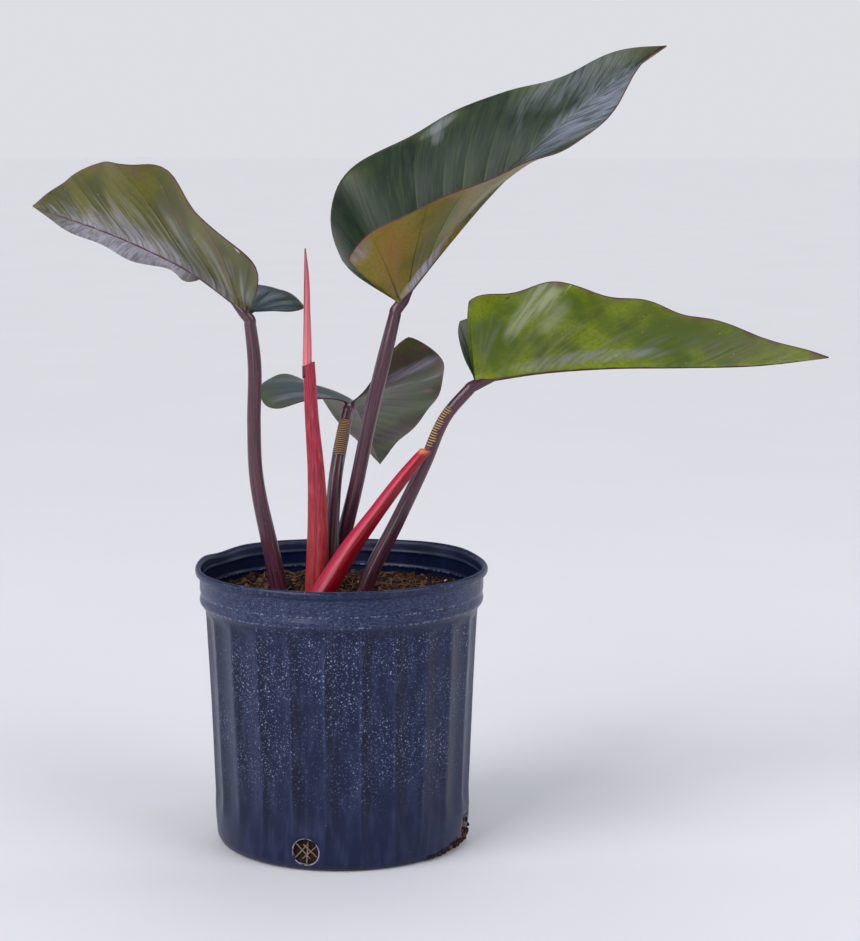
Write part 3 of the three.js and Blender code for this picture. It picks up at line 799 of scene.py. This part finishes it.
# the patches on each skin: middle, half length and half width on the flat leaf, turn, colour and strength
PATCHES = {
    "left": {
        # painted sheen: a bluish gloss on the far lobe
        "upper": [(-8, 16, 30, 22, 0, (96, 112, 132), 0.55)],
        "under": [
            # the first is a painted sheen, a lavender gloss along the ribs; the flushes, chalk and pitch
            # spots are the leaf's own
            (135, 34, 125, 44, 6, LAVENDER_SHEEN, 1.15), (62, -49, 9, 3.5, -45, FLUSH, 0.6),
            (39, -62, 10, 3, -55, FLUSH, 0.6), (30, -36, 8, 3, -50, FLUSH, 0.55),
            (44, -74, 12, 3, -50, FLUSH, 0.4), (96, -65, 10, 4, -35, FLUSH, 0.4),
            (28, -82, 2.6, 1.4, -60, CHALK, 0.9), (88, -42, 1.3, 0.9, 0, PITCH, 0.9),
            (63, -23, 1.2, 0.8, 0, PITCH, 0.9), (148, -11, 1.1, 0.8, 0, PITCH, 0.9),
            (117, 9, 1.5, 1.1, 0, PITCH, 0.8), (197, 21, 2, 1, 20, CHALK, 0.7),
        ],
    },
    "top": {
        "upper": [
            (118, -75, 14, 5, 12, SMOKE, 0.5), (112, -68, 5, 8, 40, SMOKE, 0.3),
            # the one at (212, -30) and the next line are painted sheen, a blue-grey gloss towards the tip
            (212, -30, 46, 22, 20, SMOKE, 0.34), (164, -32, 24, 3, -52, SMOKE, 0.12),
            (205, 18, 74, 24, 0, (150, 158, 176), 0.6),
        ],
        "under": [
            # the first two are a painted sheen on the lobe and a painted reflection on the curve beside the
            # midrib
            (10, 84, 16, 9, 70, LAVENDER_SHEEN, 0.6), (36, 6, 30, 5, 5, (186, 184, 200), 0.9),
            (26, 58, 40, 13, 65, (156, 92, 50), 0.4), (66, 36, 34, 14, 50, (92, 106, 34), 0.5),
        ],
    },
    "right": {
        "upper": [],
        "under": [
            # the three pale olive ones and the lavender band are painted gloss highlights
            (55, 72, 22, 16, 60, (172, 178, 140), 0.75), (38, 50, 22, 8, 60, (164, 170, 136), 0.65),
            (66, 50, 20, 7, 55, (150, 156, 122), 0.5), (92, 10, 60, 6, 4, LAVENDER_SHEEN, 0.45),
            (76, 77, 8, 0.5, 62, CHALK, 0.8), (30, 78, 2.4, 1.7, 30, PITCH, 0.95),
            # painted shade: the three long dark streaks lie in the folds
            (84, 40, 30, 6, 52, PITCH, 0.34), (118, 40, 24, 5, 45, PITCH, 0.3),
            (60, 22, 20, 3, 50, PITCH, 0.3), (222, 14, 62, 18, -10, (116, 110, 92), 0.5),
        ],
    },
    "rear": {
        # painted highlights on the lobe
        "upper": [(-2, -34, 30, 7, -80, LAVENDER_SHEEN, 0.4), (-10, -18, 12, 5, -60, LAVENDER_SHEEN, 0.45)],
        "under": [
            # the lavender ones are painted sheen
            (20, 60, 30, 6, 65, LAVENDER_SHEEN, 0.6), (24, 30, 26, 4, 55, LAVENDER_SHEEN, 0.35),
            (50, 66, 14, 3, 60, LAVENDER_SHEEN, 0.4), (71, 60, 7, 3, 40, (150, 104, 112), 0.5),
        ],
    },
}


def path_length(path):
    steps = along(path, np.linspace(0, 1, 61))
    return np.linalg.norm(np.diff(steps, axis=0), axis=1).sum()


def blade_point(leaf, midrib, side, x, y):
    """Points of the middle of a blade that lie x along the midrib and y out on the flat leaf. Side 1 is the
    right half, seen from above with the tip ahead. Also returns the upward direction at the midrib."""
    width, _, fold, curl = leaf["right" if side > 0 else "left"]
    t = x / path_length(midrib)
    tangent = heading_along(midrib, t)
    across = unit(np.cross(tangent, (0, 0, 1)))
    up = np.cross(across, tangent)
    share = (t - FOLD_FROM) / (1 - FOLD_FROM)
    start = np.radians(along(fold, share))
    turn = np.radians(along(curl, share)) * y / width + 1e-6
    chord = y * np.sin(turn / 2) / (turn / 2)
    wave, count, phase = leaf["waves"]
    ripple = wave * (y / width) ** 2 * np.sin(math.tau * (count * t + phase) + side)
    level = chord * np.cos(start + turn / 2) - ripple * np.sin(start + turn)
    rise = chord * np.sin(start + turn / 2) + ripple * np.cos(start + turn)
    return along(midrib, t) + across * (side * level)[..., None] + up * rise[..., None], up


def vein_rows(rng):
    """Rows of points that follow the side veins and crowd beside them: their places along the margin, with
    the count of veins that has been passed at each."""
    places = np.linspace(0, 1, 2001)
    past_fan = places > 0.4348
    roots = along(SPECIES_MARGIN, places)[:, 0]
    fanned = np.array([1.2, 2.4, 3.5, 4.6, 5.7]) / 14
    evenly = np.arange(0.035, 0.97, 0.082) + rng.uniform(-0.012, 0.012, 12)
    spaced = np.interp(evenly, roots[past_fan], places[past_fan])
    veins = np.concatenate([[0], fanned, spaced, [1]])
    parts = np.array([0, 0.03, 0.07, 0.13, 0.22, 0.36, 0.5, 0.64, 0.78, 0.87, 0.93, 0.97])
    counts = np.append(np.arange(len(veins) - 1)[:, None] + parts, len(veins) - 1)
    return np.interp(counts, np.arange(len(veins)), veins), counts


def half_blade(leaf, midrib, side, rng):
    """The upper skin, the margin and the under skin of half a blade as rows of points, and their marks."""
    width, lobe, _, _ = leaf["right" if side > 0 else "left"]
    rib_width, rib_height = leaf["rib"]
    length = path_length(midrib)
    places, counts = vein_rows(rng)
    root, ahead, out = (column[:, None] for column in along(SPECIES_MARGIN, places).T)
    vein = np.stack([(np.where(ahead < 0, ahead * lobe, ahead) - root) * length, out * width], -1)
    reach = np.linalg.norm(vein, axis=-1)
    rib_reach = np.minimum(rib_width * (1 - 0.85 * root), reach / 2)
    rib_shares = np.array([0, 0.25, 0.48, 0.67, 0.82, 0.93])
    out_shares = np.linspace(0, 1, 34) ** 0.93
    distance = np.concatenate([rib_reach * rib_shares, rib_reach + (reach - rib_reach) * out_shares], 1)
    inside = np.minimum(distance, np.maximum(reach - 0.3, 0))
    flat = vein / np.maximum(reach, 0.01)[..., None] * inside[..., None]
    x, y = root * length + flat[..., 0], flat[..., 1]
    share = distance / np.maximum(reach, 0.01)

    def middle(x, y):
        return blade_point(leaf, midrib, side, x, y)[0]

    point, up = blade_point(leaf, midrib, side, x, y)
    away = np.maximum(y, 0.5)
    forward = middle(x + 0.5, away) - middle(x - 0.5, away)
    outward = middle(x, away + 0.5) - middle(x, away - 0.5)
    level = unit(np.cross(outward, forward) * side)
    beside = np.hypot(y, np.minimum(x, 0))
    taper = 1 - 0.85 * np.clip(x / length, 0, 1)
    from_rib = np.clip(beside / (rib_width * taper), 0, 1)
    normal = unit(up + (level - up) * from_rib[..., None])
    swell = rib_height * taper * (1 - from_rib**2) ** 0.8

    spacing = np.hypot(*(np.gradient(part, counts, axis=0) for part in (x, y)))
    gap = np.abs(counts - np.round(counts))[:, None]
    strength = rng.uniform(0.5, 1, int(counts[-1]) + 1)[np.round(counts).astype(int)][:, None]
    fade = np.clip(reach / 20, 0, 1) * (1 - 0.55 * share)
    cord = leaf["cords"] * strength * fade * from_rib * np.exp(-((gap * spacing / (1.1 - 0.6 * share)) ** 2))
    bulge = leaf["quilt"] * np.sin(math.pi * gap) * np.sqrt(np.clip(4 * share * (1 - share), 0, 1)) * fade
    phases = rng.uniform(0, math.tau, 6)
    wobble = 0.5 * share * np.sin(x / 17 + phases[0]) * np.sin(y / 13 + phases[1])
    ruffle = np.sin(x / 9 + phases[2] + 0.6 * np.sin(x / 23 + phases[3]))
    wobble = wobble + 0.9 * share**3 * ruffle * np.clip(reach / 30, 0, 1)
    shift = bulge + wobble * from_rib
    groove = 0.45 * taper * np.exp(-((beside / 1.3) ** 2))
    upper = point + normal * (shift + BLADE_HALF_THICKNESS - 0.14 * cord - groove)[..., None]
    under = point + normal * (shift - BLADE_HALF_THICKNESS - 0.45 * cord - swell)[..., None]
    end = root[:, 0] * length + vein[:, 0, 0], vein[:, 0, 1]
    tip = middle(*end) + normal[:, -1] * shift[:, -1:]
    rows = np.concatenate([upper, tip[:, None], under[:, ::-1]], 1)

    def both(values):
        values = np.broadcast_to(values, share.shape)
        return np.concatenate([values, values[:, -1:], values[:, ::-1]], 1)

    marks = {
        "vein": both(cord), "side_count": both(counts[:, None]), "reach": both(share),
        "rib": both(1 - from_rib), "edge": both(reach * (1 - share)), "along": both(x / length),
        "flat_x": both(x), "flat_y": both(y * side),
    }
    return rows, marks


def fan(finish, spread):
    """A place on the flat leaf, in metres, drawn out along the side veins, which are 12 mm apart in it."""
    across, out = finish.mark("side_count") * 0.012, finish.mark("reach") * spread
    return finish.node("CombineXYZ", {}, {0: across, 1: out})


def patched(finish, color, patches):
    """Lays soft oval patches with ragged edges over a colour, at places on the flat leaf."""
    fibres = 0.35 + 0.75 * finish.cloud(1.8, 4, fan(finish, 0.005)).rise(0.35, 0.62)
    for x, y, long, wide, turn, tint, strength in patches:
        c, s = math.cos(math.radians(turn)), math.sin(math.radians(turn))
        ahead, out = finish.mark("flat_x") - x, finish.mark("flat_y") - y
        off = ((ahead * c + out * s) / long) ** 2 + ((out * c - ahead * s) / wide) ** 2
        ragged = off + 1.6 * finish.cloud(min(8, wide), 5, fan(finish, 0.03)) - 0.8
        color = finish.blend((1 - ragged.rise(-0.2, 1.6)) * fibres * strength, color, tint)
    return color


def upper_skin(name, tones, patches):
    finish = Finish(name, {"Specular IOR Level": 0.2, "Coat Roughness": 0.25})
    threads = finish.cloud(0.7, 3, fan(finish, 0.003))
    bands = finish.cloud(3, 3, fan(finish, 0.004))
    edge = finish.mark("edge")
    yellowed = (1 - edge.rise(2, 22)) * finish.cloud(40).rise(0.4, 0.6)
    color = finish.layered(
        finish.blend(bands.rise(0.35, 0.7), tones["upper_deep"], tones["upper"]),
        (threads.rise(0.46, 0.66) * 0.22, tones["upper_vein"]),
        (finish.mark("vein").rise(0.2, 0.7) * 0.6, tones["upper_vein"]),
        (finish.mark("rib").rise(0.6, 0.9) * 0.6, tones["upper_vein"]),
        (yellowed * 0.5, (78, 86, 42)),
    )
    color = finish.layered(
        patched(finish, color, patches),
        (finish.dots(12, 0.6, 0.22) * 0.7, (128, 82, 54)),
        (1 - edge.rise(0.15, 0.7), tones["margin"]),
    )
    finish.wear({
        "Base Color": color, "Roughness": 0.34 + 0.14 * bands, "Coat Weight": 0.12 * finish.cloud(22),
    })
    finish.relief(threads * 0.5 + finish.cloud(0.8, 3) * 0.3, 0.16)
    return finish


def under_skin(name, tones, patches):
    finish = Finish(name, {"Specular IOR Level": 0.2, "Coat Roughness": 0.3})
    threads = finish.cloud(0.8, 3, fan(finish, 0.004))
    edge = finish.mark("edge")
    # Pale bands between the side veins: a wax bloom that also stands in for a painted sheen along the ribs.
    wax_bloom_and_sheen = finish.cloud(3.4, 3, fan(finish, 0.004)).rise(0.42, 0.64)
    wax_bloom_and_sheen = wax_bloom_and_sheen * (1 - finish.mark("reach").rise(tones["bloom_and_sheen_reach"] - 0.35, tones["bloom_and_sheen_reach"]))
    wax_bloom_and_sheen = wax_bloom_and_sheen * (0.35 + 0.65 * finish.cloud(38, 2).rise(0.38, 0.56)) * tones["bloom_and_sheen_share"]
    color = finish.layered(
        finish.blend(finish.cloud(45, 3).rise(0.4, 0.62), tones["under"], tones["under_deep"]),
        (finish.cloud(2.6, 5).rise(0.42, 0.62) * 0.4, tones["under_deep"]),
        (threads.rise(0.45, 0.8) * 0.3, tones["under_deep"]),
        (wax_bloom_and_sheen, tones["bloom_and_sheen"]),
        (finish.mark("vein").rise(0.15, 0.6) * 0.75, tones["under_vein"]),
    )
    flushed = (1 - edge.rise(1, 10)) * finish.cloud(14).rise(0.42, 0.65)
    rib_color = finish.blend(finish.mark("along").rise(0.02, 0.3), (70, 44, 58), tones["midrib"])
    color = finish.layered(
        patched(finish, color, patches),
        ((finish.dots(11, 0.5, 0.12) + finish.dots(6, 0.3, 0.12)) * 0.8, PITCH),
        (finish.dots(6, 0.5, 0.2) * 0.6, CHALK),
        (flushed * 0.5, tones["flush"]),
        (finish.mark("rib").rise(0.5, 0.8), rib_color),
        (1 - edge.rise(0.15, 0.8), tones["margin"]),
    )
    finish.wear({
        "Base Color": color,
        "Roughness": 0.36 + 0.12 * finish.cloud(26) - 0.08 * wax_bloom_and_sheen,
        "Coat Weight": 0.14 * finish.cloud(18),
    })
    finish.relief(threads * 0.6 + finish.cloud(0.9, 3) * 0.3, 0.18)
    return finish


for name, leaf in LEAVES.items():
    rng = np.random.default_rng(11 + len(name))
    tones = SPECIES_TONES | LEAF_TONES[name]
    points, faces, choice = [], [], []
    marks = {}
    for side in (1, -1):
        rows, side_marks = half_blade(leaf, MIDRIBS[name], side, rng)
        columns = rows.shape[1]
        faces += lattice(*rows.shape[:2], start=sum(map(len, points)))
        choice += [0 if j < columns // 2 else 1 for _ in range(len(rows) - 1) for j in range(columns - 1)]
        points.append(rows.reshape(-1, 3))
        for key, values in side_marks.items():
            marks[key] = np.append(marks.get(key, []), values.ravel())
    finishes = [
        upper_skin(name + "_leaf_upper", tones, PATCHES[name]["upper"]),
        under_skin(name + "_leaf_under", tones, PATCHES[name]["under"]),
    ]
    points = np.concatenate(points)
    piece(name + "_blade", points, faces, finishes, name + "_leaf_blade", choice, marks)


# The new leaf: a blade that is still rolled up lengthwise into a pointed pink spear, its outer margin lying
# along it as a fine step.
SPEAR = [(-23, 6, 336), (-25, 6, 360), (-25, 6, 384), (-25, 6, 408), (-25, 6, 432), (-26, 6, 455)]
SPEAR_RADII = [3.6, 3.5, 3.2, 2.5, 1.9, 0.5]


def rolled(t, angle):
    seam = (angle / math.tau + 0.35 + 0.25 * t) % 1
    step = 0.12 * soft_step(seam, 0, 0.06) * (1 - seam)
    return along(SPEAR_RADII, t) * (0.97 + step + 0.02 * np.cos(2 * angle))


rings, t, angle = rings_along(SPEAR, 220, 48, rolled)
pink = Finish("pink_rolled_leaf", {"Specular IOR Level": 0.5, "Coat Roughness": 0.25, "Coat Weight": 0.3})
lines = pink.cloud(0.9, 4, grain(pink, 40))
veins = pink.cloud(2.2, 2, grain(pink, 60)).rise(0.52, 0.62)
tip_flush = pink.mark("grain_up").rise(85, 125)
color = pink.layered(
    pink.blend(lines, (228, 126, 132), (206, 98, 110)),
    (veins * 0.75, (158, 52, 64)), (tip_flush * 0.5, (128, 56, 62)),
)
pink.wear({"Base Color": color, "Roughness": 0.34 + 0.1 * lines})
pink.relief(lines, 0.15)
stem("new_leaf", rings, pink, "new_leaf_spear", grain_marks(rings, angle))


# The sheath of the new leaf: a thick red bud scale wrapped round it from the soil up. Its mouth is slanting,
# with a dark dry edge, and a crease runs down its front where the scale overlaps itself.
SPEAR_SHEATH = [(-20, 6, 158), (-19, 6, 200), (-18, 6, 242), (-19, 6, 284), (-22, 6, 327), (-24, 6, 372)]
SPEAR_SHEATH_RADII = [9.5, 9, 8, 6.6, 5.3, 4.6]
SHEATH_RINGS = 240
MOUTH_HEIGHT = 367.5
MOUTH_SLANT = math.tan(math.radians(20))
CREASE_TURN = 262


def creased(t, angle):
    """The outline of the sheath round its path, with the overlap as a rounded crease towards the viewer."""
    off = (np.degrees(angle) - CREASE_TURN + 180) % 360 - 180
    crease = -0.055 * np.exp(-((off / 9) ** 2)) + 0.03 * soft_step(off, 4, 30) * (1 - soft_step(off, 60, 150))
    return along(SPEAR_SHEATH_RADII, t) * (0.99 + crease)


def mouth_level(x):
    return MOUTH_HEIGHT + (x - SPEAR_SHEATH[-1][0]) * MOUTH_SLANT


rings, t, angle = rings_along(SPEAR_SHEATH, SHEATH_RINGS, 64, creased)
height, limit = rings[..., 2], mouth_level(rings[..., 0])
lowest = limit.min(axis=0) - 12
over = (height - lowest) / (height[-1] - lowest)
rings[..., 2] = np.where(height > lowest, lowest + over * (limit[-1] - lowest), height)
inner = []
for depth, reach in ((0.15, 4.3), (0.6, 3.95), (4, 3.9), (9, 3.9)):
    centre = np.array([SPEAR[1][0], rings[-1, :, 1].mean()])
    place = centre + unit(rings[-1, :, :2] - centre) * reach
    inner.append(np.column_stack([place, mouth_level(place[:, 0]) - depth]))
rings = np.concatenate([rings, inner])
marks = grain_marks(rings, angle)
marks["lip"] = np.broadcast_to((np.arange(len(rings)) >= SHEATH_RINGS - 1)[:, None], rings.shape[:2])
marks["crease"] = np.broadcast_to(np.exp(-(((np.degrees(angle) - CREASE_TURN) / 7) ** 2)), rings.shape[:2])

scale = Finish("red_bud_scale", {"Specular IOR Level": 0.35, "Coat Roughness": 0.3, "Coat Weight": 0.12})
lines = scale.cloud(0.5, 4, grain(scale, 30))
mottle = scale.cloud(3, 4, grain(scale, 4))
lower_part = 1 - scale.mark("grain_up").rise(40, 130)
color = scale.layered(
    scale.blend(lines.rise(0.34, 0.66), (106, 6, 30), (178, 40, 64)),
    (mottle.rise(0.5, 0.8) * 0.5, (196, 74, 90)), (lower_part * 0.45, (170, 66, 48)),
    # painted shade in the crease where the scale overlaps itself
    (scale.mark("crease") * 0.35, (92, 18, 34)),
    (scale.mark("lip").rise(0.2, 0.9) * 0.85, (88, 22, 34)),
)
scale.wear({"Base Color": color, "Roughness": 0.36 + 0.12 * mottle})
scale.relief(lines, 0.18)
stem("new_leaf_sheath", rings, scale, "spear_sheath", marks)


# The side sheath: the spent crimson scale of the last leaf, folded to a keel towards the viewer. It leans
# against the right stalk, and its tip has opened and dried to an orange edge.
SIDE_SHEATH = [(-32, -17, 166), (-15, -17, 194), (5, -14, 226), (25, -10, 253), (45, -6, 279), (66, -2, 304)]
SIDE_SHEATH_RADII = [9, 9.2, 8, 6.4, 5.6, 4.2]
SIDE_SHEATH_RINGS = 220
BEAK = 2.4


def keeled(t, angle):
    keel = 0.95 + 0.18 * np.maximum(0, -np.sin(angle)) ** 6
    furrow = -0.05 * np.exp(-(((np.degrees(angle) - 300) / 12) ** 2))
    return along(SIDE_SHEATH_RADII, t) * (keel + furrow)


rings, t, angle = rings_along(SIDE_SHEATH, SIDE_SHEATH_RINGS, 64, keeled)
heading = heading_along(SIDE_SHEATH, np.array(1.0))
ahead = np.cos(angle - math.radians(20))
near_end = soft_step(t, 0.9, 1)[:, None]
rings = rings + heading * (near_end * (ahead - 1) * BEAK)[..., None]
lip = rings[-1]
inner = [
    lip - heading * depth + (lip.mean(axis=0) - lip) * (1 - share)
    for depth, share in ((-0.3, 0.9), (0.5, 0.78), (4, 0.72), (9, 0.5), (13, 0.2))
]
rings = np.concatenate([rings, inner])
marks = grain_marks(rings, angle)
dried = np.interp(np.arange(len(rings)) - SIDE_SHEATH_RINGS, [-8, -1], [0, 1])[:, None]
marks["lip"] = dried * soft_step(-ahead, -0.75, 0.2)
# The lower half of the sheath, below its keel, which is painted darker as shade.
marks["shaded_underside"] = np.broadcast_to(soft_step(np.sin(angle - math.radians(264)), -0.12, 0.04), rings.shape[:2])

crimson = Finish("crimson_scale", {"Specular IOR Level": 0.35, "Coat Roughness": 0.25, "Coat Weight": 0.15})
lines = crimson.cloud(0.5, 4, grain(crimson, 30))
mottle = crimson.cloud(4, 4, grain(crimson, 4))
threads = lines.rise(0.34, 0.66)
spots = crimson.dots(4, 0.9, 0.35, grain(crimson, 1.4))
lower_part = 1 - crimson.mark("grain_up").rise(30, 60)
color = crimson.layered(
    crimson.blend(threads, (150, 0, 40), (194, 30, 68)),
    # painted shade: a darker copy of the red on the lower half
    (crimson.mark("shaded_underside"), crimson.blend(threads, (94, 0, 12), (148, 2, 26))),
    (mottle.rise(0.5, 0.8) * 0.35, (140, 16, 48)), (spots * lower_part * 0.7, (84, 42, 34)),
    (crimson.mark("lip"), (222, 120, 66)),
)
crimson.wear({"Base Color": color, "Roughness": 0.33 + 0.12 * mottle})
crimson.relief(lines, 0.18)
stem("spent_sheath", rings, crimson, "side_sheath", marks)
